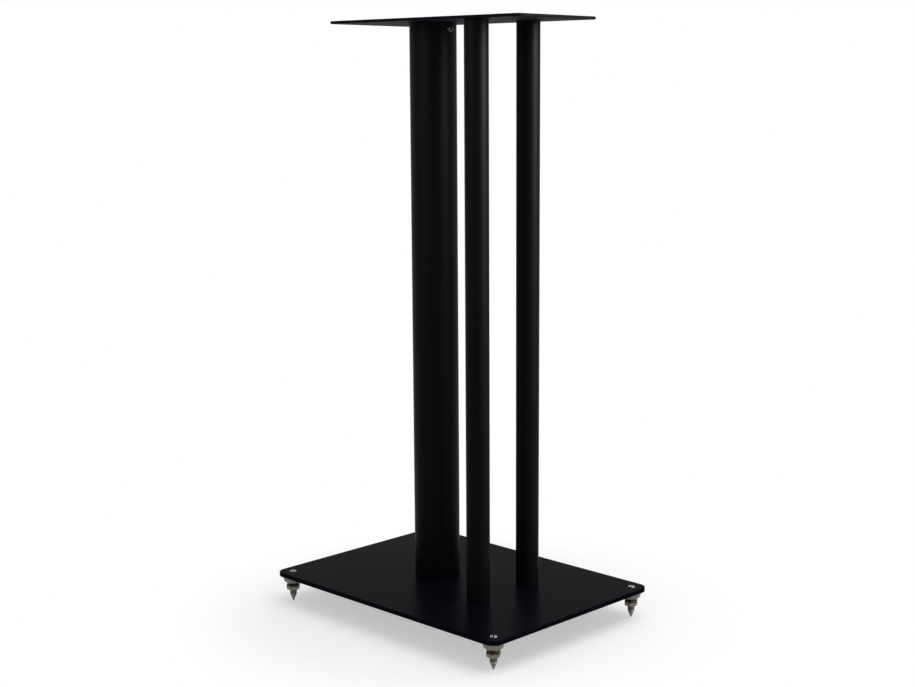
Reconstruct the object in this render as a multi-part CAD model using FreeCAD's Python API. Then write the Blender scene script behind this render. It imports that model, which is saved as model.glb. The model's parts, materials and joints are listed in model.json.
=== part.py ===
"""Speaker stand: base plate on four spiked feet, three round columns and a top plate.

Millimetres. +Z is up and the floor is Z = 0, under the middle of the base plate. The front is
towards -Y, so the thick column is in front and the two slim ones behind it. Left is -X.
"""
import FreeCAD, Part
import os
from FreeCAD import Vector
from math import cos, radians, sin

UP = Vector(0, 0, 1)
ACROSS = Vector(1, 0, 0)
ORIGIN = Vector(0, 0, 0)

# Base plate
base_width = 246.0
base_depth = 341.0
base_thickness = 5.0
base_corner_radius = 12.0

# Top plate
top_width = 118.0
top_depth = 278.0
top_thickness = 3.0
top_corner_radius = 6.0
top_set_back = 4.2          # its centre lies this far behind the base plate's centre
plate_edge_round = 0.6      # broken edges of both plates

# Columns
column_length = 603.0
main_column_diameter = 50.0
main_column_wall = 2.0
main_column_forward = 34.5  # its axis lies this far in front of the base plate's centre
rear_column_diameter = 25.0
rear_column_wall = 1.5
rear_column_spacing = 76.8  # left axis to right axis
column_row_spacing = 101.4  # main axis to the line of the rear axes

# Plugs in the tubes' ends
spigot_length = 18.0
plug_length = 18.0
plug_lead_in = 1.0
tube_clearance = 0.05       # radial, plug in tube

# Feet
foot_inset = 14.0           # spike axis in from the base plate's edges
plate_to_floor = 30.0       # base plate's underside above the floor
foot_thread_diameter = 8.0
thread_clearance = 0.05     # radial, of every thread in its hole
boss_rim_diameter = 20.8
boss_rim_height = 5.3
boss_nose_diameter = 12.4
boss_neck_diameter = 12.0   # pressed into the plate from below
boss_neck_height = 3.5
boss_seat_clearance = 0.02  # radial, neck in plate
spike_hole_clearance = 0.4  # radial, spike in the plate's top skin
spike_stands_proud = 0.3    # spike's end above the plate's top
spike_point_length = 8.0
spike_point_diameter = 7.3
spike_tip_diameter = 0.8
spike_end_chamfer = 0.7
spike_slot_width = 1.2      # screwdriver slot across the spike's upper end
spike_slot_depth = 2.5
spike_slot_headings = {     # each spike stops at its own turn: degrees from +X
    "front_left": 118.0,
    "front_right": 87.0,
    "rear_left": 14.0,
    "rear_right": 44.0,
}
nut_flats = 13.0
nut_height = 6.8
nut_face_diameter = 11.8    # flat ring left by the nut's chamfers
nut_chamfer_angle = 30.0

# Fasteners
top_screw_diameter = 5.0
top_screw_length = 16.0
top_screw_head_diameter = 10.0
top_screw_socket_flats = 3.0
top_screw_socket_depth = 1.8
top_screw_sink = 0.2        # head below the plate's face
locking_screw_diameter = 4.0
locking_screw_length = 12.0
locking_screw_head_diameter = 7.6
locking_screw_head_height = 2.2
locking_screw_socket_flats = 2.5
locking_screw_drop = 6.5    # its axis below the top plate
main_bolt_diameter = 8.0
main_bolt_length = 22.0
main_bolt_head_diameter = 14.0
main_bolt_head_height = 4.4
main_bolt_socket_flats = 5.0
main_washer_diameter = 16.0
rear_bolt_diameter = 6.0
rear_bolt_length = 20.0
rear_bolt_head_diameter = 10.5
rear_bolt_head_height = 3.3
rear_bolt_socket_flats = 4.0
rear_washer_diameter = 12.0
washer_thickness = 1.6
bolt_hole_clearance = 0.5   # radial, bolts in plates and tube walls
head_rim_share = 0.35       # upright part of a domed head's height
head_crown_share = 0.45     # flat crown's share of a domed head's diameter
socket_depth_share = 0.6    # hexagon socket's share of a domed head's height
hole_tip_room = 1.5         # a blind hole goes this far past its screw

# Levels and places worked out from the sizes above
plate_bottom = plate_to_floor
plate_top = plate_bottom + base_thickness
column_top = plate_top + column_length
stand_top = column_top + top_thickness
main_y = -main_column_forward
rear_y = main_y + column_row_spacing
rear_x = rear_column_spacing / 2
foot_x = base_width / 2 - foot_inset
foot_y = base_depth / 2 - foot_inset
boss_taper_height = (boss_rim_diameter - boss_nose_diameter) / 2
boss_bottom = plate_bottom - boss_rim_height - boss_taper_height
nut_bottom = boss_bottom - nut_height
SIDES = {"left": -1, "right": 1}
ENDS = {"front": -1, "rear": 1}


def cylinder(diameter, height, x=0.0, y=0.0, z=0.0):
    """Upright cylinder whose lower face is at z."""
    return Part.makeCylinder(diameter / 2, height, Vector(x, y, z), UP)


def turned(profile):
    """Solid of revolution about Z from a closed list of (radius, height) points."""
    points = [Vector(radius, 0, height) for radius, height in profile]
    face = Part.Face(Part.makePolygon(points + points[:1]))
    return face.revolve(ORIGIN, UP, 360)


def hexagon_prism(across_flats, height, z=0.0):
    """Upright hexagonal prism with two flats square to Y."""
    corner_radius = across_flats / 2 / cos(radians(30))
    corners = []
    for step in range(6):
        angle = radians(60 * step)
        corners.append(Vector(corner_radius * cos(angle), corner_radius * sin(angle), z))
    return Part.Face(Part.makePolygon(corners + corners[:1])).extrude(UP * height)


def rounded_plate(width, depth, thickness, corner_radius):
    """Flat plate centred on Z, lower face at Z = 0, with round corners and broken edges."""
    plate = Part.makeBox(width, depth, thickness, Vector(-width / 2, -depth / 2, 0))
    uprights = [edge for edge in plate.Edges if abs(edge.tangentAt(edge.FirstParameter).z) > 0.5]
    plate = plate.makeFillet(corner_radius, uprights)
    rims = [edge for edge in plate.Edges if edge.BoundBox.ZLength < thickness / 2]
    return plate.makeFillet(min(plate_edge_round, thickness / 3), rims)


def tube(diameter, wall, x, y):
    """Column standing on the base plate."""
    outside = cylinder(diameter, column_length, x, y, plate_top)
    return outside.cut(cylinder(diameter - 2 * wall, column_length, x, y, plate_top))


def domed_screw(diameter, length, head_diameter, head_height, socket_flats):
    """Button-head screw: shank below Z = 0, head above it, with a hexagon socket."""
    head_radius = head_diameter / 2
    rim_height = head_height * head_rim_share
    crown_radius = head_radius * head_crown_share
    rim = Vector(head_radius, 0, rim_height)
    crown = Vector(crown_radius, 0, head_height)
    middle = (rim + crown) * 0.5
    bulge = Vector(crown.z - rim.z, 0, rim.x - crown.x).normalize() * (head_height * 0.1)
    outline = Part.Wire([
        Part.makeLine(ORIGIN, Vector(head_radius, 0, 0)),
        Part.makeLine(Vector(head_radius, 0, 0), rim),
        Part.Arc(rim, middle + bulge, crown).toShape(),
        Part.makeLine(crown, Vector(0, 0, head_height)),
        Part.makeLine(Vector(0, 0, head_height), ORIGIN),
    ])
    head = Part.Face(outline).revolve(ORIGIN, UP, 360)
    shank = cylinder(diameter, length, z=-length)
    socket_depth = head_height * socket_depth_share
    socket = hexagon_prism(socket_flats, socket_depth, head_height - socket_depth)
    return head.fuse(shank).removeSplitter().cut(socket)


def countersunk_screw():
    """Countersunk screw for the top plate: its face at Z = 0, its shank below."""
    head_radius = top_screw_head_diameter / 2
    shank_radius = top_screw_diameter / 2
    head_height = head_radius - shank_radius
    body = turned([
        (0, 0),
        (head_radius, 0),
        (shank_radius, -head_height),
        (shank_radius, -top_screw_length),
        (0, -top_screw_length),
    ])
    socket = hexagon_prism(top_screw_socket_flats, top_screw_socket_depth, -top_screw_socket_depth)
    return body.cut(socket)


def countersink():
    """Cutter for one of the top plate's screw holes: the plate's face is at Z = 0."""
    room = thread_clearance
    head_radius = top_screw_head_diameter / 2 + room
    shank_radius = top_screw_diameter / 2 + room
    return turned([
        (0, top_screw_sink),
        (head_radius, top_screw_sink),
        (head_radius, -top_screw_sink),
        (shank_radius, -top_screw_sink - (head_radius - shank_radius)),
        (shank_radius, -top_thickness - top_screw_sink),
        (0, -top_thickness - top_screw_sink),
    ])


def plug(tube_diameter, wall, length):
    """Solid plug for a tube's end: face at Z = 0, chamfered end at Z = length."""
    radius = tube_diameter / 2 - wall - tube_clearance
    lead_in = min(plug_lead_in, length / 4)
    return turned([
        (0, 0),
        (radius, 0),
        (radius, length - lead_in),
        (radius - lead_in, length),
        (0, length),
    ])


def placed(shape, x, y, z):
    """The shape moved to its place."""
    moved = shape.copy()
    moved.translate(Vector(x, y, z))
    return moved


def upside_down(shape):
    """The shape turned over about X."""
    turned_over = shape.copy()
    turned_over.rotate(ORIGIN, ACROSS, 180)
    return turned_over


def column_places():
    """Name, axis and tube and bolt sizes of each column."""
    main = {"x": 0.0, "y": main_y, "diameter": main_column_diameter, "wall": main_column_wall,
            "bolt": main_bolt_diameter, "bolt_length": main_bolt_length,
            "head": main_bolt_head_diameter, "head_height": main_bolt_head_height,
            "socket": main_bolt_socket_flats, "washer": main_washer_diameter}
    places = {"main": main}
    for side, sign in SIDES.items():
        places[side] = {"x": sign * rear_x, "y": rear_y,
                        "diameter": rear_column_diameter, "wall": rear_column_wall,
                        "bolt": rear_bolt_diameter, "bolt_length": rear_bolt_length,
                        "head": rear_bolt_head_diameter, "head_height": rear_bolt_head_height,
                        "socket": rear_bolt_socket_flats, "washer": rear_washer_diameter}
    return places


def make_base_plate(columns):
    """Base plate with a bolt hole under each column and a stepped hole at each foot."""
    plate = rounded_plate(base_width, base_depth, base_thickness, base_corner_radius)
    plate.translate(UP * plate_bottom)
    for column in columns.values():
        hole = column["bolt"] + 2 * bolt_hole_clearance
        plate = plate.cut(cylinder(hole, base_thickness, column["x"], column["y"], plate_bottom))
    neck_hole = boss_neck_diameter + 2 * boss_seat_clearance
    spike_hole = foot_thread_diameter + 2 * spike_hole_clearance
    for x, y in foot_places().values():
        plate = plate.cut(cylinder(neck_hole, boss_neck_height, x, y, plate_bottom))
        plate = plate.cut(cylinder(spike_hole, base_thickness, x, y, plate_bottom))
    return plate


def make_top_plate(columns):
    """Top plate with a countersunk hole over each column."""
    plate = rounded_plate(top_width, top_depth, top_thickness, top_corner_radius)
    plate.translate(Vector(0, top_set_back, column_top))
    for column in columns.values():
        plate = plate.cut(placed(countersink(), column["x"], column["y"], stand_top))
    return plate


def make_main_column(column):
    """Thick tube with a hole in its rear wall for the locking screw."""
    body = tube(column["diameter"], column["wall"], column["x"], column["y"])
    hole = locking_screw_diameter + 2 * bolt_hole_clearance
    return body.cut(across_to_rear(hole, column["diameter"]))


def across_to_rear(diameter, length):
    """Level cylinder from the main column's axis to its rear, at the locking screw's height."""
    start = Vector(0, main_y, column_top - locking_screw_drop)
    return Part.makeCylinder(diameter / 2, length, start, Vector(0, 1, 0))


def make_top_spigot(column):
    """Plug in a tube's upper end, threaded for the top plate's screw."""
    spigot = placed(upside_down(plug(column["diameter"], column["wall"], spigot_length)),
                    column["x"], column["y"], column_top)
    depth = top_screw_length + top_screw_sink + hole_tip_room
    hole = top_screw_diameter + 2 * thread_clearance
    return spigot.cut(cylinder(hole, depth, column["x"], column["y"], stand_top - depth))


def drilled_for_locking_screw(spigot):
    """The main spigot with the radial threaded hole that the locking screw enters."""
    tip_y = main_y + main_column_diameter / 2 - locking_screw_length - hole_tip_room
    hole = locking_screw_diameter + 2 * thread_clearance
    start = Vector(0, tip_y, column_top - locking_screw_drop)
    return spigot.cut(Part.makeCylinder(hole / 2, main_column_diameter, start, Vector(0, 1, 0)))


def make_locking_screw():
    """Button-head screw through the main column's rear wall."""
    screw = domed_screw(locking_screw_diameter, locking_screw_length,
                        locking_screw_head_diameter, locking_screw_head_height,
                        locking_screw_socket_flats)
    screw.rotate(ORIGIN, ACROSS, -90)
    return placed(screw, 0, main_y + main_column_diameter / 2, column_top - locking_screw_drop)


def make_bottom_plug(column):
    """Plug in a tube's lower end, threaded right through for the base bolt."""
    body = placed(plug(column["diameter"], column["wall"], plug_length),
                  column["x"], column["y"], plate_top)
    hole = column["bolt"] + 2 * thread_clearance
    return body.cut(cylinder(hole, plug_length, column["x"], column["y"], plate_top))


def make_base_bolt(column):
    """Button-head bolt from below the base plate."""
    bolt = domed_screw(column["bolt"], column["bolt_length"], column["head"],
                       column["head_height"], column["socket"])
    return placed(upside_down(bolt), column["x"], column["y"], plate_bottom - washer_thickness)


def make_base_washer(column):
    """Washer between the bolt's head and the base plate."""
    z = plate_bottom - washer_thickness
    outside = cylinder(column["washer"], washer_thickness, column["x"], column["y"], z)
    hole = column["bolt"] + 2 * bolt_hole_clearance
    return outside.cut(cylinder(hole, washer_thickness, column["x"], column["y"], z))


def foot_places():
    """Name and axis of each foot."""
    places = {}
    for end, end_sign in ENDS.items():
        for side, side_sign in SIDES.items():
            places[end + "_" + side] = (side_sign * foot_x, end_sign * foot_y)
    return places


def make_foot_boss():
    """Turned boss under the plate, tapered to its nose, with a neck up into the plate."""
    bore_radius = foot_thread_diameter / 2 + thread_clearance
    rim_bottom = plate_bottom - boss_rim_height
    return turned([
        (bore_radius, boss_bottom),
        (boss_nose_diameter / 2, boss_bottom),
        (boss_rim_diameter / 2, rim_bottom),
        (boss_rim_diameter / 2, plate_bottom),
        (boss_neck_diameter / 2, plate_bottom),
        (boss_neck_diameter / 2, plate_bottom + boss_neck_height),
        (bore_radius, plate_bottom + boss_neck_height),
    ])


def make_lock_nut():
    """Hexagon nut against the boss's nose, chamfered on both faces."""
    corner_radius = nut_flats / 2 / cos(radians(30))
    face_radius = nut_face_diameter / 2
    drop = (corner_radius - face_radius) * sin(radians(nut_chamfer_angle))
    envelope = turned([
        (0, nut_bottom),
        (face_radius, nut_bottom),
        (corner_radius, nut_bottom + drop),
        (corner_radius, boss_bottom - drop),
        (face_radius, boss_bottom),
        (0, boss_bottom),
    ])
    nut = hexagon_prism(nut_flats, nut_height, nut_bottom).common(envelope)
    hole = foot_thread_diameter + 2 * thread_clearance
    return nut.cut(cylinder(hole, nut_height, z=nut_bottom))


def make_spike(slot_heading):
    """Spike: pointed lower end on the floor, thread above it, screwdriver slot in its top."""
    thread_radius = foot_thread_diameter / 2
    point_radius = spike_point_diameter / 2
    end = plate_top + spike_stands_proud
    body = turned([
        (0, 0),
        (spike_tip_diameter / 2, 0),
        (point_radius, spike_point_length),
        (thread_radius, spike_point_length + abs(thread_radius - point_radius)),
        (thread_radius, end - spike_end_chamfer),
        (thread_radius - spike_end_chamfer, end),
        (0, end),
    ])
    length = foot_thread_diameter + 2 * spike_end_chamfer
    slot = Part.makeBox(length, spike_slot_width, 2 * spike_slot_depth,
                        Vector(-length / 2, -spike_slot_width / 2, end - spike_slot_depth))
    slot.rotate(ORIGIN, UP, slot_heading)
    return body.cut(slot)


def make_parts():
    """Every sub-part of the stand, by node name."""
    columns = column_places()
    parts = {
        "base_plate": make_base_plate(columns),
        "top_plate": make_top_plate(columns),
        "main_column": make_main_column(columns["main"]),
        "main_top_spigot": drilled_for_locking_screw(make_top_spigot(columns["main"])),
        "main_bottom_plug": make_bottom_plug(columns["main"]),
        "locking_screw": make_locking_screw(),
    }
    for side in SIDES:
        column = columns[side]
        parts["rear_column_" + side] = tube(column["diameter"], column["wall"],
                                            column["x"], column["y"])
        parts["rear_top_spigot_" + side] = make_top_spigot(column)
        parts["rear_bottom_plug_" + side] = make_bottom_plug(column)
    for name, column in columns.items():
        parts["top_screw_" + name] = placed(countersunk_screw(), column["x"], column["y"],
                                            stand_top - top_screw_sink)
        parts["base_bolt_" + name] = make_base_bolt(column)
        parts["base_washer_" + name] = make_base_washer(column)
    for name, (x, y) in foot_places().items():
        parts["foot_boss_" + name] = placed(make_foot_boss(), x, y, 0)
        parts["lock_nut_" + name] = placed(make_lock_nut(), x, y, 0)
        parts["spike_" + name] = placed(make_spike(spike_slot_headings[name]), x, y, 0)
    return parts


os.makedirs("parts", exist_ok=True)
for node, shape in make_parts().items():
    shape.exportStep("parts/" + node + ".step")
    print(node, "valid" if shape.isValid() else "NOT VALID", len(shape.Solids), "solid",
          round(shape.Volume, 1), "mm3")
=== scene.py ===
"""Speaker stand: finishes and fine shapes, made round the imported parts.

Metres. +Z is up and the floor is Z = 0. The front is towards -Y, where the thick column stands,
and the camera looks from behind and from the right.
"""
import json
from math import cos, pi, radians, sin, tan

import bmesh
import bpy
from mathutils import Matrix, Vector

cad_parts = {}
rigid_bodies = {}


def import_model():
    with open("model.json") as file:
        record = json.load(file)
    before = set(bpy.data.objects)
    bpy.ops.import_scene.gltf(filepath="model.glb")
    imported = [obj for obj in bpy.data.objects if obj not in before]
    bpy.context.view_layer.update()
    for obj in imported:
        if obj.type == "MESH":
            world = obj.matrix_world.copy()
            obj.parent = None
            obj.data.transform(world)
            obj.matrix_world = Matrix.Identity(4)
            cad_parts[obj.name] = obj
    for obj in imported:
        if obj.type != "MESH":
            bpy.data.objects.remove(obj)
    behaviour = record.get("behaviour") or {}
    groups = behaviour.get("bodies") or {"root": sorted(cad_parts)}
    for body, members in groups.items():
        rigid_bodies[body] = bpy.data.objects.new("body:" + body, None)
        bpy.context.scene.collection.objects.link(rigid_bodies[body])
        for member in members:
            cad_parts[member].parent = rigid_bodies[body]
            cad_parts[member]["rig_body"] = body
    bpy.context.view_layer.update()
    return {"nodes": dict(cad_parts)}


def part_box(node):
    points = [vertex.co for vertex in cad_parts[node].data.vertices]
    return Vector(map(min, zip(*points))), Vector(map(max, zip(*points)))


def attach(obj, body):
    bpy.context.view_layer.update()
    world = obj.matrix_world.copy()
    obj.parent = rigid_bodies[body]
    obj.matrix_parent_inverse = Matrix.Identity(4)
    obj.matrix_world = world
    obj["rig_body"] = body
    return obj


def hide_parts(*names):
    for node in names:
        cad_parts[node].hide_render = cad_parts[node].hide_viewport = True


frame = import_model()

MM = 0.001
ORIGIN = Vector((0, 0, 0))
COLUMNS = ("main", "left", "right")
SIDES = ("left", "right")
FEET = ("front_left", "front_right", "rear_left", "rear_right")

# Facets round a turned piece: twelve divides them all, so that hexagon corners are sharp
COLUMN_FACETS = 192
FASTENER_FACETS = 96
SPIKE_FACETS = 72
BEVEL_STEPS = 4
SHARP_ANGLE = radians(32)
WELD_DISTANCE = 1e-6

# Plates
BASE_CORNER_RADIUS = 12.0 * MM
TOP_CORNER_RADIUS = 6.0 * MM
PLATE_EDGE_ROUND = 0.7 * MM
CORNER_STEPS = 20
NECK_HOLE_RADIUS = 6.02 * MM
NECK_HOLE_DEPTH = 3.5 * MM
NECK_CLEARANCE = 0.02 * MM      # round the boss's neck in that hole
SPIKE_HOLE_RADIUS = 4.4 * MM
HOLE_BREAK = 0.3 * MM
RIM_ANGLE = radians(50)     # an edge that turns more than this is a rim, and is rounded
MAIN_BOLT_HOLE_RADIUS = 4.5 * MM
REAR_BOLT_HOLE_RADIUS = 3.5 * MM
BEYOND = 5.0 * MM           # a cutter runs this far past the face that it cuts

# Columns
MAIN_WALL = 2.0 * MM
REAR_WALL = 1.5 * MM
TUBE_END_BREAK = 0.3 * MM
LOCKING_HOLE_RADIUS = 2.5 * MM
LOCKING_HOLE_ROWS = 6.0 * MM

# Feet
THREAD_PITCH = 1.25 * MM
THREAD_DEPTH = 0.68 * MM
CREST_SHARE = 0.125         # flat crest and root of the thread, in pitches
ROOT_SHARE = 0.25
THREAD_FOOT_INSET = 0.05 * MM   # the thread starts on the cone, this far below its root
SPIKE_TIP_FLAT = 0.28 * MM      # radius and height of the blunt tip, and of the round beside it
SPIKE_TIP_FLAT_HEIGHT = 0.03 * MM
SPIKE_TIP_RADIUS = 0.4 * MM
SPIKE_TIP_HEIGHT = 0.2 * MM
SPIKE_POINT_RADIUS = 3.65 * MM
SPIKE_POINT_LENGTH = 8.0 * MM
SPIKE_SLOT_WIDTH = 1.2 * MM     # screwdriver slot across the spike's upper end
SPIKE_SLOT_DEPTH = 2.5 * MM
SPIKE_SLOT_CORNER = 0.3 * MM
SPIKE_SLOT_HEADINGS = {         # each spike stops at its own turn
    "front_left": radians(118),
    "front_right": radians(87),
    "rear_left": radians(14),
    "rear_right": radians(44),
}
BOSS_NOSE_RADIUS = 6.2 * MM
BOSS_BORE_RADIUS = 4.05 * MM
BOSS_RIM_HEIGHT = 5.3 * MM
BOSS_EDGE_BREAK = 0.35 * MM
BOSS_RIM_INSET = 0.14 * MM      # the bevel where the boss's cone meets its rim
BOSS_RIM_BEVEL = 0.21 * MM
NUT_FACE_RADIUS = 5.9 * MM
NUT_BORE_RADIUS = 4.05 * MM
NUT_BORE_CHAMFER = 0.5 * MM
NUT_CHAMFER_ANGLE = radians(30)
NUT_CHAMFER_STEPS = 8

# Screws, bolts and washers
TOP_SCREW_RADIUS = 2.5 * MM
TOP_SCREW_FLATS = 3.0 * MM
TOP_SCREW_SOCKET_DEPTH = 1.8 * MM
COUNTERSINK_ROOM = 0.05 * MM
LOCKING_SCREW_RADIUS = 2.0 * MM
LOCKING_SCREW_HEAD = 2.2 * MM
LOCKING_SCREW_FLATS = 2.5 * MM
MAIN_BOLT_RADIUS = 4.0 * MM
MAIN_BOLT_HEAD = 4.4 * MM
MAIN_BOLT_FLATS = 5.0 * MM
REAR_BOLT_RADIUS = 3.0 * MM
REAR_BOLT_HEAD = 3.3 * MM
REAR_BOLT_FLATS = 4.0 * MM
SHANK_END_BREAK = 0.2       # share of the shank's radius that is broken off its end
HEAD_EDGE_INSET = 0.015     # shares of a domed head's radius: the break of its lower edge
HEAD_EDGE_RISE = 0.03
HEAD_RIM_SHARE = 0.35       # share of its height that is upright
HEAD_CROWN_SHARE = 0.45     # share of its radius that is flat on top
HEAD_DOME_STEPS = 10
SOCKET_DEPTH_SHARE = 0.6    # share of its height that the socket takes
SOCKET_LEAD_SHARE = 0.08    # shares of a socket's corner radius: the lead-in at its mouth,
SOCKET_DRILL_SHARE = 0.5    # the drilled hole that is broached,
SOCKET_CONE_SHARE = 0.3     # and the height of the cone at its bottom
FASTENER_EDGE_BREAK = 0.2 * MM

# Finishes
COAT_PEEL = 1.6 * MM        # ripples of the black coat, and its fine grain
COAT_GRAIN = 0.35 * MM
COAT_DRIFT = 60.0 * MM      # how far apart its glossier and duller areas lie
COAT_RELIEF = 0.03 * MM
COAT_BUMP = 0.25
COAT_PEEL_SHARE = 0.7       # share of the ripples in the relief: the rest is grain
COAT_DRIFT_DULLING = 0.06   # the most that each dulling adds to the roughness
COAT_GRAIN_DULLING = 0.08
PLATING_CLOUD = 4.0 * MM
PLATING_SPECKLE = 0.25 * MM
PLATING_RELIEF = 0.01 * MM
PLATING_RING_SHARE = 0.6    # share of the turned rings in the relief: the rest is speckle
PLATING_RING_WOBBLE = 0.4   # radians by which a cloud shifts the rings
PLATING_CLOUD_DULLING = 0.12
PLATING_SPECKLE_DULLING = 0.06
PATCH_DULLING = 0.15
# Painted shade: a dark brown band on each lock nut's upper half, under its boss
NUT_SHADE_LEVEL = 18.0 * MM      # height above the floor where the painted shade on a nut's faces ends
NUT_SHADE_EDGE = 0.35 * MM
NUT_SHADE_DIP_AT_CORNERS = 0.8
NUT_SHADE_COLOUR = (0.030, 0.021, 0.014, 1)
SPIKE_END_HIGHLIGHT_COLOUR = (0.25, 0.25, 0.24, 1)   # painted highlight on a spike's slotted end
SPIKE_END_HIGHLIGHT_DEPTH = 1.6 * MM
SPIKE_END_HIGHLIGHT_FADE = 0.8 * MM

# How a row of a turned piece is cut: left round, milled to the outside hexagon, broached to the
# socket's hexagon, or wound up as a thread
ROUND, MILLED, BROACHED, THREADED = 0.0, 1.0, 2.0, 3.0
HALF_A_FORM = 0.5

# Turns that point a piece made along +Z to the back or down
TO_THE_BACK = Matrix.Rotation(-pi / 2, 4, "X")
DOWNWARDS = Matrix.Rotation(pi, 4, "X")

# The camera, as worked out from the photograph's straight edges
IMAGE_WIDTH = 915
IMAGE_HEIGHT = 687
CAMERA_PLACE = Vector((1.1826, 1.1836, 0.5715))
CAMERA_HEADING = radians(43.587)
CAMERA_DIP = radians(10.523)
CAMERA_ROLL = radians(-0.080)
FOCAL_LENGTH_PIXELS = 1569.14
PRINCIPAL_PIXEL = (496.33, 377.93)
SENSOR_WIDTH_MM = 36.0

# Floor and light, in metres
FLOOR_RADIUS = 6.0
FLOOR_FACETS = 64
FLOOR_COLOUR = (0.97, 0.97, 0.97, 1)
WHITE = (1, 1, 1, 1)
SHADOW_FADES_FROM = 0.19    # distances from the middle of the stand
SHADOW_ENDS_AT = 0.32
SHADOW_LIFT = 0.48          # share of plain white that is mixed into the shadow
WORLD_LIGHT = 0.55
WORLD_COLOUR = (0.97, 0.98, 1, 1)


class Value:
    """A socket's number. Python's operators on it add Math nodes to its tree."""

    def __init__(self, tree, socket):
        self.tree = tree
        self.socket = socket

    def math(self, operation, *others):
        values = dict(enumerate((self,) + others))
        return self.tree.add("ShaderNodeMath", {"operation": operation}, values)["Value"]

    def flipped(self, operation, other):
        values = {0: other, 1: self}
        return self.tree.add("ShaderNodeMath", {"operation": operation}, values)["Value"]

    def __add__(self, other):
        return self.math("ADD", other)

    def __sub__(self, other):
        return self.math("SUBTRACT", other)

    def __mul__(self, other):
        return self.math("MULTIPLY", other)

    def __truediv__(self, other):
        return self.math("DIVIDE", other)

    def __rsub__(self, other):
        return self.flipped("SUBTRACT", other)

    def __rtruediv__(self, other):
        return self.flipped("DIVIDE", other)

    def __mod__(self, other):
        return self.math("FLOORED_MODULO", other)

    def __gt__(self, other):
        return self.math("GREATER_THAN", other)

    def __lt__(self, other):
        return self.math("LESS_THAN", other)

    __radd__ = __add__
    __rmul__ = __mul__


class Outputs:
    """A node's outputs, read as Values by name or number."""

    def __init__(self, tree, node):
        self.tree = tree
        self.node = node

    def __getitem__(self, key):
        return Value(self.tree, self.node.outputs[key])


class Tree:
    """A node tree and the one way in which nodes are added to it."""

    def __init__(self, node_tree):
        self.node_tree = node_tree

    def add(self, kind, settings=None, values=None):
        """A node of a kind, its settings first, then its sockets' values or links."""
        node = self.node_tree.nodes.new(kind)
        for name, setting in (settings or {}).items():
            setattr(node, name, setting)
        for key, value in (values or {}).items():
            if isinstance(value, Value):
                self.node_tree.links.new(value.socket, node.inputs[key])
            else:
                node.inputs[key].default_value = value
        return Outputs(self, node)

    def colour_between(self, share, first, second):
        """The mix of two colours, by a share from 0 to 1."""
        settings = {"data_type": "RGBA"}
        return self.add("ShaderNodeMix", settings, {0: share, 6: first, 7: second})[2]

    def smooth_step(self, value, low, high):
        """0 below low, 1 above high, and smooth between."""
        settings = {"interpolation_type": "SMOOTHSTEP"}
        values = {"Value": value, "From Min": low, "From Max": high}
        return self.add("ShaderNodeMapRange", settings, values)["Result"]

    def noise(self, place, wavelength, detail=2.0, roughness=0.5):
        """Noise of about that wavelength in metres, from 0 to 1."""
        values = {"Vector": place, "Scale": 1 / wavelength,
                  "Detail": detail, "Roughness": roughness}
        return self.add("ShaderNodeTexNoise", {}, values)["Fac"]


# Turned pieces: a profile of (radius, height) points, spun by a node tree


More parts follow.
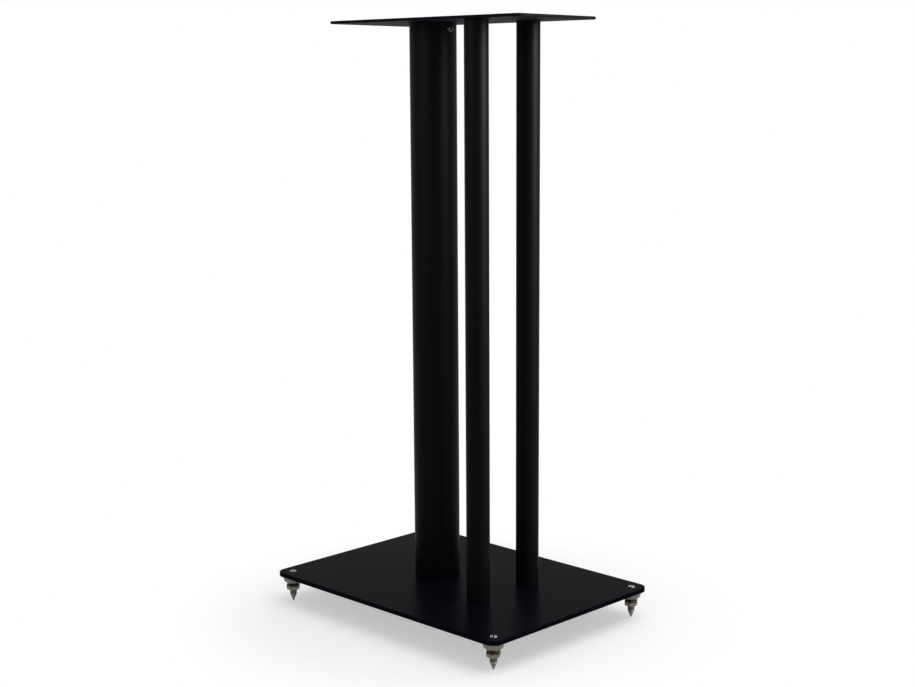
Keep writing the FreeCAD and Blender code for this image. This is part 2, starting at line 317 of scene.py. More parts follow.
def turning_tree(name, threaded):
    """Node tree that turns a profile about Z, mills and broaches its hexagons and cuts its thread.

    The profile's points lie in XZ. Each one's form says how its row is cut, and a thread runs out
    at its two ends.
    """
    tree = Tree(bpy.data.node_groups.new(name, "GeometryNodeTree"))
    sockets = [("Facets", "NodeSocketInt"), ("Outside Flats", "NodeSocketFloat"),
               ("Socket Flats", "NodeSocketFloat"), ("Material", "NodeSocketMaterial")]
    if threaded:
        sockets += [(label, "NodeSocketFloat") for label in
                    ("Pitch", "Thread Foot", "Foot Radius", "Foot Slope", "Thread End",
                     "End Radius")]
    interface = tree.node_tree.interface
    interface.new_socket("Geometry", in_out="INPUT", socket_type="NodeSocketGeometry")
    for label, kind in sockets:
        interface.new_socket(label, in_out="INPUT", socket_type=kind)
    interface.new_socket("Geometry", in_out="OUTPUT", socket_type="NodeSocketGeometry")

    given = tree.add("NodeGroupInput")
    profile = given["Geometry"]
    facets = given["Facets"]
    size = tree.add("GeometryNodeAttributeDomainSize", {"component": "MESH"}, {"Geometry": profile})
    rows = size["Point Count"]
    sheet = tree.add("GeometryNodeMeshGrid", {}, {"Vertices X": facets + 1, "Vertices Y": rows})
    index = tree.add("GeometryNodeInputIndex")["Index"]
    row = index % rows
    angle = (index - row) / rows * (2 * pi) / facets

    form_read = tree.add("GeometryNodeInputNamedAttribute", {"data_type": "FLOAT"},
                         {"Name": "form"})
    form = tree.add("GeometryNodeSampleIndex", {"data_type": "FLOAT"},
                    {"Geometry": profile, "Value": form_read["Attribute"], "Index": row})["Value"]
    place = tree.add("GeometryNodeInputPosition")["Position"]
    point = tree.add("GeometryNodeSampleIndex", {"data_type": "FLOAT_VECTOR"},
                     {"Geometry": profile, "Value": place, "Index": row})["Value"]
    parts = tree.add("ShaderNodeSeparateXYZ", {}, {"Vector": point})
    radius = parts["X"]
    height = parts["Z"]

    from_flat = (angle + pi / 6) % (pi / 3) - pi / 6
    stretch = 1 / from_flat.math("COSINE")
    milled = (form > MILLED - HALF_A_FORM) * (form < MILLED + HALF_A_FORM)
    broached = (form > BROACHED - HALF_A_FORM) * (form < BROACHED + HALF_A_FORM)
    outside = radius.math("MINIMUM", given["Outside Flats"] / 2 * stretch)
    inside = radius.math("MAXIMUM", given["Socket Flats"] / 2 * stretch)
    cut_radius = radius + milled * (outside - radius) + broached * (inside - radius)
    if threaded:
        winding = form > THREADED - HALF_A_FORM
        climbed = height + given["Pitch"] * angle / (2 * pi)
        climbed = climbed.math("MAXIMUM", given["Thread Foot"]).math("MINIMUM", given["Thread End"])
        foot_limit = given["Foot Radius"] + (climbed - given["Thread Foot"]) * given["Foot Slope"]
        end_limit = given["End Radius"] + given["Thread End"] - climbed
        limited = radius.math("MINIMUM", foot_limit).math("MINIMUM", end_limit)
        cut_radius = cut_radius + winding * (limited - radius)
        height = height + winding * (climbed - height)

    across = cut_radius * angle.math("COSINE")
    along = cut_radius * angle.math("SINE")
    spun = tree.add("ShaderNodeCombineXYZ", {}, {"X": across, "Y": along, "Z": height})["Vector"]
    moved = tree.add("GeometryNodeSetPosition", {}, {"Geometry": sheet["Mesh"], "Position": spun})
    welded = tree.add("GeometryNodeMergeByDistance", {},
                      {"Geometry": moved["Geometry"], "Distance": WELD_DISTANCE})
    real = tree.add("GeometryNodeRealizeInstances", {}, {"Geometry": welded["Geometry"]})
    painted = tree.add("GeometryNodeSetMaterial", {},
                       {"Geometry": real["Geometry"], "Material": given["Material"]})
    tree.add("NodeGroupOutput", {}, {"Geometry": painted["Geometry"]})
    return tree.node_tree


def profile_mesh(profile):
    """A mesh of a profile's points, each given as (radius, height) or (radius, height, form)."""
    mesh = bpy.data.meshes.new("profile")
    mesh.from_pydata([(point[0], 0, point[1]) for point in profile], [], [])
    form = mesh.attributes.new("form", "FLOAT", "POINT")
    for number, point in enumerate(profile):
        form.data[number].value = point[2] if len(point) > 2 else ROUND
    return mesh


def evaluated_mesh(maker):
    """The mesh that an object's modifiers make. The object itself is removed."""
    bpy.context.view_layer.update()
    shown = maker.evaluated_get(bpy.context.evaluated_depsgraph_get())
    mesh = bpy.data.meshes.new_from_object(shown)
    bpy.data.objects.remove(maker)
    return mesh


def shaded(mesh):
    """The mesh shaded smooth, with its edges sharp where it turns a corner."""
    mesh.shade_smooth()
    mesh.set_sharp_from_angle(angle=SHARP_ANGLE)
    return mesh


def cleaned(mesh):
    """The mesh shaded, without empty faces, and with its normals outwards."""
    work = bmesh.new()
    work.from_mesh(mesh)
    bmesh.ops.dissolve_degenerate(work, dist=WELD_DISTANCE / 2, edges=work.edges)
    bmesh.ops.recalc_face_normals(work, faces=work.faces)
    work.to_mesh(mesh)
    work.free()
    return shaded(mesh)


def turned(profile, material, facets=FASTENER_FACETS, place=ORIGIN, turn=None, **sizes):
    """Mesh of a turned piece, turned by a matrix and moved to its place."""
    maker = bpy.data.objects.new("turning", profile_mesh(profile))
    bpy.context.scene.collection.objects.link(maker)
    modifier = maker.modifiers.new("turning", "NODES")
    modifier.node_group = THREADED_TREE if "pitch" in sizes else TURNED_TREE
    values = {"Facets": facets, "Material": material}
    values.update({name.replace("_", " ").title(): size for name, size in sizes.items()})
    for item in modifier.node_group.interface.items_tree:
        if item.in_out == "INPUT" and item.name in values:
            modifier[item.identifier] = values[item.name]
    mesh = cleaned(evaluated_mesh(maker))
    mesh.transform(Matrix.Translation(place) @ (turn or Matrix.Identity(4)))
    return mesh


def piece(node, mesh):
    """The mesh as the piece that stands for a node, on that node's body."""
    made = bpy.data.objects.new(node + "_finished", mesh)
    mesh.name = made.name
    bpy.context.scene.collection.objects.link(made)
    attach(made, frame["nodes"][node]["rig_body"])
    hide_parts(node)
    return made


def foot_of(node):
    """The middle of the lower face of a node's box."""
    low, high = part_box(node)
    return Vector(((low.x + high.x) / 2, (low.y + high.y) / 2, low.z))


def height_of(node):
    low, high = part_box(node)
    return high.z - low.z


def width_of(node):
    """A round node's diameter: its box is exact across X."""
    low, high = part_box(node)
    return high.x - low.x


def axis_y(name):
    """Where a column's axis lies in Y, from the washer under it."""
    low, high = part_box("base_washer_" + name)
    return (low.y + high.y) / 2


def on_axis(node, name, height):
    """The place at that height where a node's box is centred in X, on a column's axis in Y."""
    return Vector((foot_of(node).x, axis_y(name), height))


def hexagon_corner(flats):
    """Radius to the corners of a hexagon of that width across its flats."""
    return flats / 2 / cos(pi / 6)


def bolt_hole_radius(name):
    return MAIN_BOLT_HOLE_RADIUS if name == "main" else REAR_BOLT_HOLE_RADIUS


def column_node(name):
    return "main_column" if name == "main" else "rear_column_" + name


# Profiles, each from its own Z = 0


def tube_profile(outside, wall, length, extra_rows=()):
    """A tube's wall with its end edges broken, and more rows where a hole is drilled."""
    inside = outside - wall
    rows = [(inside, TUBE_END_BREAK), (inside + TUBE_END_BREAK, 0), (outside - TUBE_END_BREAK, 0),
            (outside, TUBE_END_BREAK)]
    rows += [(outside, height) for height in extra_rows]
    rows += [(outside, length - TUBE_END_BREAK), (outside - TUBE_END_BREAK, length),
             (inside + TUBE_END_BREAK, length), (inside, length - TUBE_END_BREAK)]
    rows += [(inside, height) for height in reversed(extra_rows)]
    return rows + rows[:1]


def domed_profile(shank, length, head, head_height, flats):
    """Button-head screw: shank below Z = 0, a domed head above, and a broached socket."""
    rim = head_height * HEAD_RIM_SHARE
    crown = head * HEAD_CROWN_SHARE
    rows = shank_rows(shank, length)
    rows += [(shank, 0), (head * (1 - HEAD_EDGE_INSET), 0), (head, head * HEAD_EDGE_RISE),
             (head, rim)]
    for step in range(1, HEAD_DOME_STEPS + 1):
        share = step / HEAD_DOME_STEPS * pi / 2
        rows.append((crown + (head - crown) * cos(share), rim + (head_height - rim) * sin(share)))
    return rows + socket_rows(flats, head_height, head_height * SOCKET_DEPTH_SHARE)


def shank_rows(shank, length):
    """The lower end of a screw's shank, with its edge broken."""
    end_break = shank * SHANK_END_BREAK
    return [(0, -length), (shank - end_break, -length), (shank, -length + end_break)]


def socket_rows(flats, top, depth):
    """A hexagon socket from its broken rim down to its drilled bottom."""
    corner = hexagon_corner(flats)
    lead = corner * SOCKET_LEAD_SHARE
    drill = corner * SOCKET_DRILL_SHARE
    bottom = top - depth
    return [(corner + lead, top), (corner, top - lead), (drill, top - lead * 2, BROACHED),
            (drill, bottom, BROACHED), (0, bottom - corner * SOCKET_CONE_SHARE)]


def countersunk_profile(shank, length, head, flats, socket_depth):
    """Countersunk screw with its flat face at Z = 0."""
    edge = FASTENER_EDGE_BREAK
    rows = shank_rows(shank, length)
    rows += [(shank, shank - head), (head - edge, -edge * 2), (head, -edge), (head, -edge / 2),
             (head - edge / 2, 0)]
    return rows + socket_rows(flats, 0, socket_depth)


def washer_profile(outside, inside, thickness):
    """Flat washer, its outer edges broken."""
    edge = FASTENER_EDGE_BREAK
    rows = [(inside, 0), (outside - edge, 0), (outside, edge), (outside, thickness - edge),
            (outside - edge, thickness), (inside, thickness)]
    return rows + rows[:1]


def boss_profile(outside, height, neck_height):
    """Boss from its nose at Z = 0 to the top of its neck."""
    seat = height - neck_height
    rim = seat - BOSS_RIM_HEIGHT
    neck = NECK_HOLE_RADIUS - NECK_CLEARANCE
    edge = BOSS_EDGE_BREAK
    rows = [(BOSS_BORE_RADIUS, edge), (BOSS_BORE_RADIUS + edge, 0), (BOSS_NOSE_RADIUS - edge, 0),
            (BOSS_NOSE_RADIUS, edge / 2), (outside - BOSS_RIM_INSET, rim - BOSS_RIM_BEVEL),
            (outside, rim + BOSS_RIM_BEVEL), (outside, seat - edge), (outside - edge, seat),
            (neck, seat), (neck, height), (BOSS_BORE_RADIUS, height)]
    return rows + rows[:1]


def nut_profile(flats, height):
    """Hexagon nut with turned chamfers on both faces."""
    corner = hexagon_corner(flats)
    lower = [(NUT_BORE_RADIUS, NUT_BORE_CHAMFER), (NUT_BORE_RADIUS + NUT_BORE_CHAMFER, 0)]
    for step in range(NUT_CHAMFER_STEPS + 1):
        radius = NUT_FACE_RADIUS + (corner - NUT_FACE_RADIUS) * step / NUT_CHAMFER_STEPS
        lower.append((radius, (radius - NUT_FACE_RADIUS) * tan(NUT_CHAMFER_ANGLE), MILLED))
    upper = [(row[0], height - row[1]) + row[2:] for row in reversed(lower)]
    rows = lower + upper
    return rows + rows[:1]


def spike_profile(thread, length):
    """Spike from its tip at Z = 0: cone, thread and flat end."""
    root = thread - THREAD_DEPTH
    slope = (SPIKE_POINT_RADIUS - SPIKE_TIP_RADIUS) / SPIKE_POINT_LENGTH
    foot_radius = root - THREAD_FOOT_INSET
    foot = (foot_radius - SPIKE_TIP_RADIUS) / slope
    rows = [(0, 0), (SPIKE_TIP_FLAT, SPIKE_TIP_FLAT_HEIGHT), (SPIKE_TIP_RADIUS, SPIKE_TIP_HEIGHT),
            (foot_radius, foot)]
    flank = (1 - CREST_SHARE - ROOT_SHARE) / 2 * THREAD_PITCH
    height = foot - THREAD_PITCH
    while height < length:
        root_end = height + ROOT_SHARE * THREAD_PITCH
        rows += [(root, height, THREADED), (root, root_end, THREADED),
                 (thread, root_end + flank, THREADED),
                 (thread, height + THREAD_PITCH - flank, THREADED)]
        height += THREAD_PITCH
    rows += [(root, length), (0, length)]
    limits = {"pitch": THREAD_PITCH, "thread_foot": foot, "foot_radius": foot_radius,
              "foot_slope": slope, "thread_end": length, "end_radius": root}
    return rows, limits


# Plates


def rounded_slab(low, high, corner_radius):
    """Closed slab between two corners of its box, with round upright corners."""
    work = bmesh.new()
    ring = []
    right, left = high.x - corner_radius, low.x + corner_radius
    back, front = high.y - corner_radius, low.y + corner_radius
    centres = ((right, back), (left, back), (left, front), (right, front))
    for quarter, (x, y) in enumerate(centres):
        for step in range(CORNER_STEPS + 1):
            angle = (quarter + step / CORNER_STEPS) * pi / 2
            ring.append(work.verts.new((x + corner_radius * cos(angle),
                                        y + corner_radius * sin(angle), low.z)))
    floor = work.faces.new(ring)
    raised = bmesh.ops.extrude_face_region(work, geom=[floor])
    for part in raised["geom"]:
        if isinstance(part, bmesh.types.BMVert):
            part.co.z = high.z
    bmesh.ops.recalc_face_normals(work, faces=work.faces)
    mesh = bpy.data.meshes.new("slab")
    work.to_mesh(mesh)
    work.free()
    return mesh


def joined(meshes):
    """One mesh holding the shells of several."""
    work = bmesh.new()
    for mesh in meshes:
        work.from_mesh(mesh)
    whole = bpy.data.meshes.new("joined")
    work.to_mesh(whole)
    work.free()
    return whole


def drilled(mesh, cutters, material, edge_round=0.0):
    """The mesh with its rims rounded and the cutters' shapes taken out of it."""
    mesh.materials.clear()
    mesh.materials.append(material)
    body = bpy.data.objects.new("drilling", mesh)
    tool = bpy.data.objects.new("cutters", joined(cutters))
    bpy.context.scene.collection.objects.link(body)
    bpy.context.scene.collection.objects.link(tool)
    if edge_round:
        bevel = body.modifiers.new("rims", "BEVEL")
        bevel.width = edge_round
        bevel.segments = BEVEL_STEPS
        bevel.limit_method = "ANGLE"
        bevel.angle_limit = RIM_ANGLE
    boolean = body.modifiers.new("holes", "BOOLEAN")
    boolean.operation = "DIFFERENCE"
    boolean.solver = "EXACT"
    boolean.object = tool
    result = evaluated_mesh(body)
    bpy.data.objects.remove(tool)
    result.materials.clear()
    result.materials.append(material)
    return shaded(result)


def evened(made):
    """Normals that lie flat on the large faces, kept in the mesh."""
    modifier = made.modifiers.new("normals", "WEIGHTED_NORMAL")
    modifier.keep_sharp = True
    return made


def make_base_plate():
    """The lower plate, with a stepped hole for each foot and a plain one for each bolt."""
    low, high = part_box("base_plate")
    top = high.z - low.z
    through = top + BEYOND
    cutters = []
    for name in FEET:
        place = foot_of("spike_" + name)
        rows = [(0, -BEYOND), (NECK_HOLE_RADIUS, -BEYOND), (NECK_HOLE_RADIUS, NECK_HOLE_DEPTH),
                (SPIKE_HOLE_RADIUS, NECK_HOLE_DEPTH), (SPIKE_HOLE_RADIUS, top - HOLE_BREAK),
                (SPIKE_HOLE_RADIUS + HOLE_BREAK + BEYOND, through), (0, through)]
        cutters.append(turned(rows, COATED_BASE, place=Vector((place.x, place.y, low.z))))
    for name in COLUMNS:
        place = on_axis("base_bolt_" + name, name, low.z)
        radius = bolt_hole_radius(name)
        rows = [(0, -BEYOND), (radius, -BEYOND), (radius, through), (0, through)]
        cutters.append(turned(rows, COATED_BASE, place=place))
    slab = rounded_slab(low, high, BASE_CORNER_RADIUS)
    mesh = drilled(slab, cutters, COATED_BASE, PLATE_EDGE_ROUND)
    return evened(piece("base_plate", mesh))


def make_top_plate():
    """The upper plate, countersunk for the screws that hold it to the columns."""
    low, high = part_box("top_plate")
    cutters = []
    for name in COLUMNS:
        screw = "top_screw_" + name
        head = width_of(screw) / 2 + COUNTERSINK_ROOM
        shank = TOP_SCREW_RADIUS + COUNTERSINK_ROOM
        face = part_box(screw)[1].z - high.z
        through = low.z - high.z - BEYOND
        rows = [(0, through), (shank, through), (shank, face - (head - shank)), (head, face),
                (head, BEYOND), (0, BEYOND)]
        cutters.append(turned(rows, COATED_TOP, place=on_axis(screw, name, high.z)))
    slab = rounded_slab(low, high, TOP_CORNER_RADIUS)
    mesh = drilled(slab, cutters, COATED_TOP, PLATE_EDGE_ROUND)
    return evened(piece("top_plate", mesh))


# Columns, screws and feet


def make_columns():
    """The three tubes. The thick one is drilled for its locking screw."""
    for name in COLUMNS:
        node = column_node(name)
        place = on_axis(node, name, foot_of(node).z)
        wall = MAIN_WALL if name == "main" else REAR_WALL
        rows_at = ()
        if name == "main":
            screw = "locking_screw"
            hole_height = foot_of(screw).z + width_of(screw) / 2 - place.z
            rows_at = (hole_height - LOCKING_HOLE_ROWS, hole_height + LOCKING_HOLE_ROWS)
        profile = tube_profile(width_of(node) / 2, wall, height_of(node), rows_at)
        mesh = turned(profile, COATED_TUBE, COLUMN_FACETS, place)
        if name == "main":
            hole = [(0, 0), (LOCKING_HOLE_RADIUS, 0), (LOCKING_HOLE_RADIUS, width_of(node)),
                    (0, width_of(node))]
            cutter = turned(hole, COATED_TUBE, place=place + Vector((0, 0, hole_height)),
                            turn=TO_THE_BACK)
            mesh = drilled(mesh, [cutter], COATED_TUBE)
        piece(node, mesh)


def make_top_screws():
    """The countersunk screws through the top plate, each over its column."""
    for name in COLUMNS:
        node = "top_screw_" + name
        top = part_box(node)[1].z
        profile = countersunk_profile(TOP_SCREW_RADIUS, height_of(node), width_of(node) / 2,
                                      TOP_SCREW_FLATS, TOP_SCREW_SOCKET_DEPTH)
        mesh = turned(profile, BLACK_STEEL, place=on_axis(node, name, top),
                      socket_flats=TOP_SCREW_FLATS)
        piece(node, mesh)


def make_base_bolts():
    """The bolts under the base plate, their heads down, each with its washer."""
    for name in COLUMNS:
        node = "base_bolt_" + name
        if name == "main":
            shank, head_height, flats = MAIN_BOLT_RADIUS, MAIN_BOLT_HEAD, MAIN_BOLT_FLATS
        else:
            shank, head_height, flats = REAR_BOLT_RADIUS, REAR_BOLT_HEAD, REAR_BOLT_FLATS
        profile = domed_profile(shank, height_of(node) - head_height, width_of(node) / 2,
                                head_height, flats)
        place = on_axis(node, name, foot_of(node).z + head_height)
        mesh = turned(profile, BLACK_STEEL, place=place, turn=DOWNWARDS, socket_flats=flats)
        piece(node, mesh)

        washer = "base_washer_" + name
        profile = washer_profile(width_of(washer) / 2, bolt_hole_radius(name), height_of(washer))
        mesh = turned(profile, BRIGHT_ZINC, place=on_axis(washer, name, foot_of(washer).z))
        piece(washer, mesh)


def make_locking_screw():
    """The button-head screw that comes into the thick column from the back."""
    low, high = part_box("locking_screw")
    head = width_of("locking_screw") / 2
    profile = domed_profile(LOCKING_SCREW_RADIUS, high.y - low.y - LOCKING_SCREW_HEAD, head,
                            LOCKING_SCREW_HEAD, LOCKING_SCREW_FLATS)
    place = Vector(((low.x + high.x) / 2, high.y - LOCKING_SCREW_HEAD, (low.z + high.z) / 2))
    mesh = turned(profile, BLACK_STEEL, place=place, turn=TO_THE_BACK,
                  socket_flats=LOCKING_SCREW_FLATS)
    piece("locking_screw", mesh)


def make_feet():
    """Under each corner of the base plate, a boss, its lock nut and a spike with a slotted end."""
    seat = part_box("base_plate")[0].z
    for name in FEET:
        boss = "foot_boss_" + name
        profile = boss_profile(width_of(boss) / 2, height_of(boss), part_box(boss)[1].z - seat)
        piece(boss, turned(profile, SATIN_NICKEL, place=foot_of(boss)))

        nut = "lock_nut_" + name
        low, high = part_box(nut)
        flats = high.y - low.y
        mesh = turned(nut_profile(flats, height_of(nut)), NICKEL_WITH_PAINTED_SHADE, place=foot_of(nut),
                      outside_flats=flats)
        piece(nut, mesh)

        spike = "spike_" + name
        profile, limits = spike_profile(width_of(spike) / 2, height_of(spike))
        mesh = turned(profile, NICKEL_WITH_PAINTED_HIGHLIGHT, SPIKE_FACETS, foot_of(spike), **limits)
        reach = width_of(spike)
        slot = rounded_slab(Vector((-reach, -SPIKE_SLOT_WIDTH / 2, -SPIKE_SLOT_DEPTH)),
                            Vector((reach, SPIKE_SLOT_WIDTH / 2, BEYOND)), SPIKE_SLOT_CORNER)
        end = foot_of(spike) + Vector((0, 0, height_of(spike)))
        heading = Matrix.Rotation(SPIKE_SLOT_HEADINGS[name], 4, "Z")
        slot.transform(Matrix.Translation(end) @ heading)
        piece(spike, drilled(mesh, [slot], NICKEL_WITH_PAINTED_HIGHLIGHT))


def finish_spigots_and_plugs():
    """Turned steel on the solids inside the tubes' ends, which keep their own shape."""
    for kind in ("top_spigot", "bottom_plug"):
        for node in ["main_" + kind] + ["rear_" + kind + "_" + side for side in SIDES]:
            frame["nodes"][node].material_slots[0].material = TURNED_STEEL


# Finishes


def material(name, build):
    """A material whose tree is filled by build(tree), which returns the shader's socket."""
    made = bpy.data.materials.new(name)
    made.use_nodes = True
    made.node_tree.nodes.clear()
    tree = Tree(made.node_tree)
    shader = build(tree)
    tree.add("ShaderNodeOutputMaterial", {}, {"Surface": shader})
    return made


def powder_coat(deep, light, roughness, specular):
    """Maker of a black powder coat: faint orange peel, and gloss that wanders a little."""
    def build(tree):
        place = tree.add("ShaderNodeTexCoord")["Object"]
        drift = tree.noise(place, COAT_DRIFT)
        peel = tree.noise(place, COAT_PEEL, detail=1.0)
        grain = tree.noise(place, COAT_GRAIN)
        colour = tree.colour_between(drift, deep + (1,), light + (1,))
        rough = roughness + drift * COAT_DRIFT_DULLING + grain * COAT_GRAIN_DULLING
        relief = peel * COAT_PEEL_SHARE + grain * (1 - COAT_PEEL_SHARE)
        bump = tree.add("ShaderNodeBump", {}, {"Strength": COAT_BUMP, "Distance": COAT_RELIEF,
                                               "Height": relief})
        return tree.add("ShaderNodeBsdfPrincipled", {}, {
            "Base Color": colour,
            "Roughness": rough,
            "Specular IOR Level": specular,
            "Normal": bump["Normal"],
        })["BSDF"]
    return build


def nut_painted_shade(tree, parts):
    """1 on a lock nut's upper half, under the boss, and further down its corners: painted shade."""
    low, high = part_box("lock_nut_rear_right")
    across = parts["X"].math("ABSOLUTE") - (low.x + high.x) / 2
    along = parts["Y"].math("ABSOLUTE") - (low.y + high.y) / 2
    radius = (across * across + along * along).math("SQRT")
    level = parts["Z"] + (radius - (high.y - low.y) / 2) * NUT_SHADE_DIP_AT_CORNERS
    return tree.smooth_step(level, NUT_SHADE_LEVEL - NUT_SHADE_EDGE, NUT_SHADE_LEVEL + NUT_SHADE_EDGE)


def spike_end_highlight(tree, parts):
    """1 on the slotted end of a spike, where a highlight is painted, with a soft limit down its
    sides.
    """
    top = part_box("spike_rear_right")[1].z
    limit = top - SPIKE_END_HIGHLIGHT_DEPTH
    return tree.smooth_step(parts["Z"], limit, limit + SPIKE_END_HIGHLIGHT_FADE)


def plated(bright, dull, roughness, ring_width, relief, patch=None, patch_colour=None):
    """Maker of a plated metal: turned rings under a thin plating, a few dull clouds, and a patch.

    The patch, where there is one, is painted light or shade: a function says where its colour lies,
    0 to 1.
    """
    def build(tree):
        place = tree.add("ShaderNodeTexCoord")["Object"]
        parts = tree.add("ShaderNodeSeparateXYZ", {}, {"Vector": place})
        clouds = tree.noise(place, PLATING_CLOUD, detail=3.0)
        speckle = tree.noise(place, PLATING_SPECKLE)
        wobble = clouds * PLATING_RING_WOBBLE
        rings = (parts["Z"] / ring_width * (2 * pi) + wobble).math("SINE") * 0.5 + 0.5
        colour = tree.colour_between(clouds, bright + (1,), dull + (1,))
        rough = roughness + clouds * PLATING_CLOUD_DULLING + speckle * PLATING_SPECKLE_DULLING
        if patch:
            share = patch(tree, parts)
            colour = tree.colour_between(share, colour, patch_colour)
            rough = rough + share * PATCH_DULLING
        height = rings * PLATING_RING_SHARE + speckle * (1 - PLATING_RING_SHARE)
        bump = tree.add("ShaderNodeBump", {}, {"Strength": relief, "Distance": PLATING_RELIEF,
                                               "Height": height})
        return tree.add("ShaderNodeBsdfPrincipled", {}, {
            "Base Color": colour,
            "Metallic": 1.0,
            "Roughness": rough,
            "Normal": bump["Normal"],
        })["BSDF"]
    return build


# Floor, light and camera


def seen_rays(tree):
    """1 for the rays that show a surface, directly or in metal or glass, and 0 for its light."""
    rays = tree.add("ShaderNodeLightPath")
    seen = rays["Is Camera Ray"].math("MAXIMUM", rays["Is Glossy Ray"])
    return seen.math("MAXIMUM", rays["Is Transmission Ray"])


def make_floor():
    """Pale floor: the object's shadow near it, plain white further out."""
    work = bmesh.new()
    bmesh.ops.create_circle(work, cap_ends=True, segments=FLOOR_FACETS, radius=FLOOR_RADIUS)
    mesh = bpy.data.meshes.new("floor")
    work.to_mesh(mesh)
    work.free()

    def build(tree):
        place = tree.add("ShaderNodeTexCoord")["Object"]
        distance = tree.add("ShaderNodeVectorMath", {"operation": "LENGTH"}, {0: place})["Value"]
        far = tree.smooth_step(distance, SHADOW_FADES_FROM, SHADOW_ENDS_AT)
        matt = tree.add("ShaderNodeBsdfDiffuse", {}, {"Color": FLOOR_COLOUR})
        plain = tree.add("ShaderNodeEmission", {}, {"Color": WHITE, "Strength": 1.0})
        share = seen_rays(tree) * (SHADOW_LIFT + far * (1 - SHADOW_LIFT))
        return tree.add("ShaderNodeMixShader", {},
                        {0: share, 1: matt["BSDF"], 2: plain["Emission"]})["Shader"]

    mesh.materials.append(material("white_floor", build))
    floor = bpy.data.objects.new("floor", mesh)
    bpy.context.scene.collection.objects.link(floor)


def make_world():
    """White where it is seen or mirrored, and a soft grey light on the object."""
    world = bpy.data.worlds.new("studio")
    world.use_nodes = True
    world.node_tree.nodes.clear()
    tree = Tree(world.node_tree)
    soft = tree.add("ShaderNodeBackground", {}, {"Color": WORLD_COLOUR, "Strength": WORLD_LIGHT})
    white = tree.add("ShaderNodeBackground", {}, {"Color": WHITE, "Strength": 1.0})
    mixed = tree.add("ShaderNodeMixShader", {},
                     {0: seen_rays(tree), 1: soft["Background"], 2: white["Background"]})
    tree.add("ShaderNodeOutputWorld", {}, {"Surface": mixed["Shader"]})
    bpy.context.scene.world = world


def soft_box(name, heading, distance, height, aim_height, wide, tall, watts, only_mirrored=False):
    """Rectangular lamp that faces the upright line through the stand's origin, at aim_height.

    The heading is in degrees, to the image's right of the camera's. The lamp may be one that only
    shows as a reflection.
    """
    lamp = bpy.data.lights.new(name, "AREA")
    lamp.shape = "RECTANGLE"
    lamp.size = wide
    lamp.size_y = tall
    lamp.energy = watts
    angle = CAMERA_HEADING + radians(heading)
    place = Vector((cos(angle) * distance, sin(angle) * distance, height))
    aim = Vector((0, 0, aim_height)) - place
    made = bpy.data.objects.new(name, lamp)
    made.location = place
    made.rotation_euler = aim.to_track_quat("-Z", "Y").to_euler()
    made.visible_camera = False
    made.visible_diffuse = not only_mirrored
    bpy.context.scene.collection.objects.link(made)


def make_lights():
    """A broad lamp overhead, and two that the tubes mirror as upright streaks."""
    soft_box("overhead", heading=80, distance=0.7, height=2.4, aim_height=0,
             wide=2.2, tall=2.2, watts=34)
    soft_box("right_box", heading=72, distance=1.4, height=1.0, aim_height=1.0,
             wide=0.5, tall=0.8, watts=115, only_mirrored=True)
    soft_box("left_box", heading=-51, distance=1.4, height=1.0, aim_height=1.0,
             wide=0.5, tall=0.8, watts=13, only_mirrored=True)


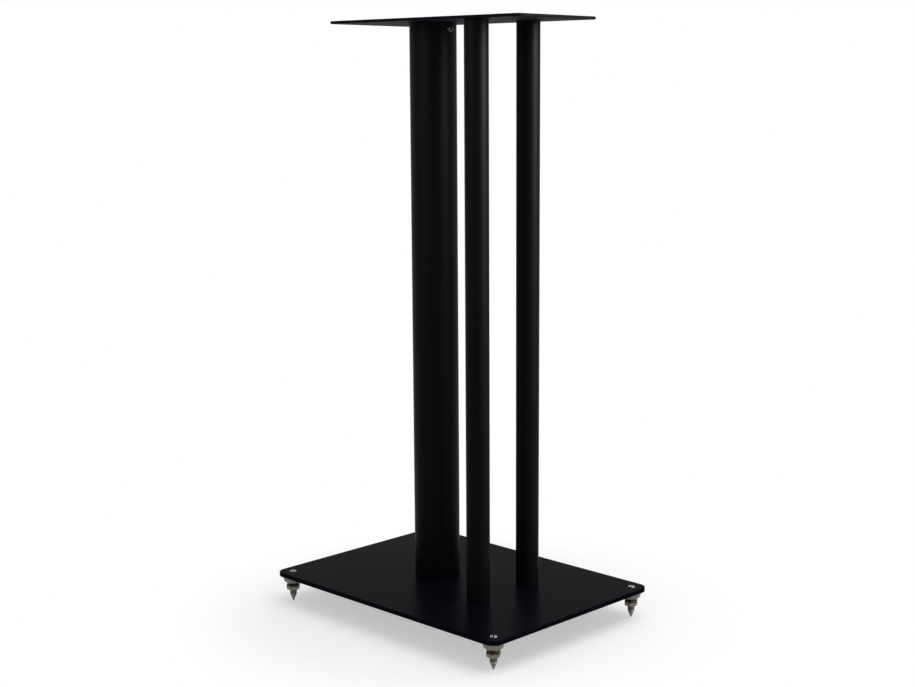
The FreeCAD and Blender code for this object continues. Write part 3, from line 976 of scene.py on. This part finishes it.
def make_camera():
    """The photograph's camera: its place, direction, focal length and off-centre frame."""
    level = cos(CAMERA_DIP)
    forward = -Vector((level * cos(CAMERA_HEADING), level * sin(CAMERA_HEADING), sin(CAMERA_DIP)))
    level_right = Vector((-sin(CAMERA_HEADING), cos(CAMERA_HEADING), 0))
    right = level_right * cos(CAMERA_ROLL) + level_right.cross(forward) * sin(CAMERA_ROLL)
    up = right.cross(forward)
    lens = bpy.data.cameras.new("camera")
    lens.sensor_width = SENSOR_WIDTH_MM
    lens.lens = FOCAL_LENGTH_PIXELS * SENSOR_WIDTH_MM / IMAGE_WIDTH
    lens.shift_x = ((IMAGE_WIDTH - 1) / 2 - PRINCIPAL_PIXEL[0]) / IMAGE_WIDTH
    lens.shift_y = (PRINCIPAL_PIXEL[1] - (IMAGE_HEIGHT - 1) / 2) / IMAGE_WIDTH
    camera = bpy.data.objects.new("camera", lens)
    turn = Matrix((right, up, -forward)).transposed().to_4x4()
    camera.matrix_world = Matrix.Translation(CAMERA_PLACE) @ turn
    bpy.context.scene.collection.objects.link(camera)
    bpy.context.scene.camera = camera


# The blue in these black coats' colours, strongest on the plates, is a painted tint of the bluish
# light they mirror
COATED_BASE = material("smooth_black_powder_coat", powder_coat(
    deep=(0.0020, 0.0018, 0.0036), light=(0.0029, 0.0027, 0.0049), roughness=0.27, specular=0.0042))
COATED_TOP = material("matt_black_powder_coat", powder_coat(
    deep=(0.0016, 0.0013, 0.0050), light=(0.0026, 0.0022, 0.0068), roughness=0.58, specular=0.023))
COATED_TUBE = material("satin_black_powder_coat", powder_coat(
    deep=(0.0007, 0.0007, 0.0009), light=(0.0013, 0.0013, 0.0016), roughness=0.42, specular=0.035))
SATIN_NICKEL_LOOK = {"bright": (0.185, 0.170, 0.148), "dull": (0.130, 0.117, 0.100),
                     "roughness": 0.22, "ring_width": 0.18 * MM, "relief": 0.35}
SATIN_NICKEL = material("satin_nickel_plate", plated(**SATIN_NICKEL_LOOK))
# Nickel with painted shade on the lock nuts' upper halves
NICKEL_WITH_PAINTED_SHADE = material("nickel_plate_with_painted_shade", plated(
    **SATIN_NICKEL_LOOK, patch=nut_painted_shade, patch_colour=NUT_SHADE_COLOUR))
# Nickel with a painted highlight on the spikes' slotted ends
NICKEL_WITH_PAINTED_HIGHLIGHT = material("nickel_plate_with_painted_highlight", plated(
    **SATIN_NICKEL_LOOK, patch=spike_end_highlight, patch_colour=SPIKE_END_HIGHLIGHT_COLOUR))
BRIGHT_ZINC = material("bright_zinc_plate", plated(
    bright=(0.80, 0.82, 0.84), dull=(0.62, 0.64, 0.66),
    roughness=0.16, ring_width=0.15 * MM, relief=0.25))
BLACK_STEEL = material("black_oxide_steel", plated(
    bright=(0.060, 0.060, 0.065), dull=(0.034, 0.034, 0.038),
    roughness=0.22, ring_width=0.15 * MM, relief=0.25))
TURNED_STEEL = material("turned_steel", plated(
    bright=(0.62, 0.61, 0.60), dull=(0.48, 0.47, 0.45),
    roughness=0.26, ring_width=0.30 * MM, relief=0.6))
TURNED_TREE = turning_tree("turned_piece", False)
THREADED_TREE = turning_tree("threaded_piece", True)

make_camera()
make_floor()
make_world()
make_lights()

make_base_plate()
make_top_plate()
make_columns()
make_top_screws()
make_base_bolts()
make_locking_screw()
make_feet()
finish_spigots_and_plugs()

bpy.context.scene.view_settings.view_transform = "Standard"
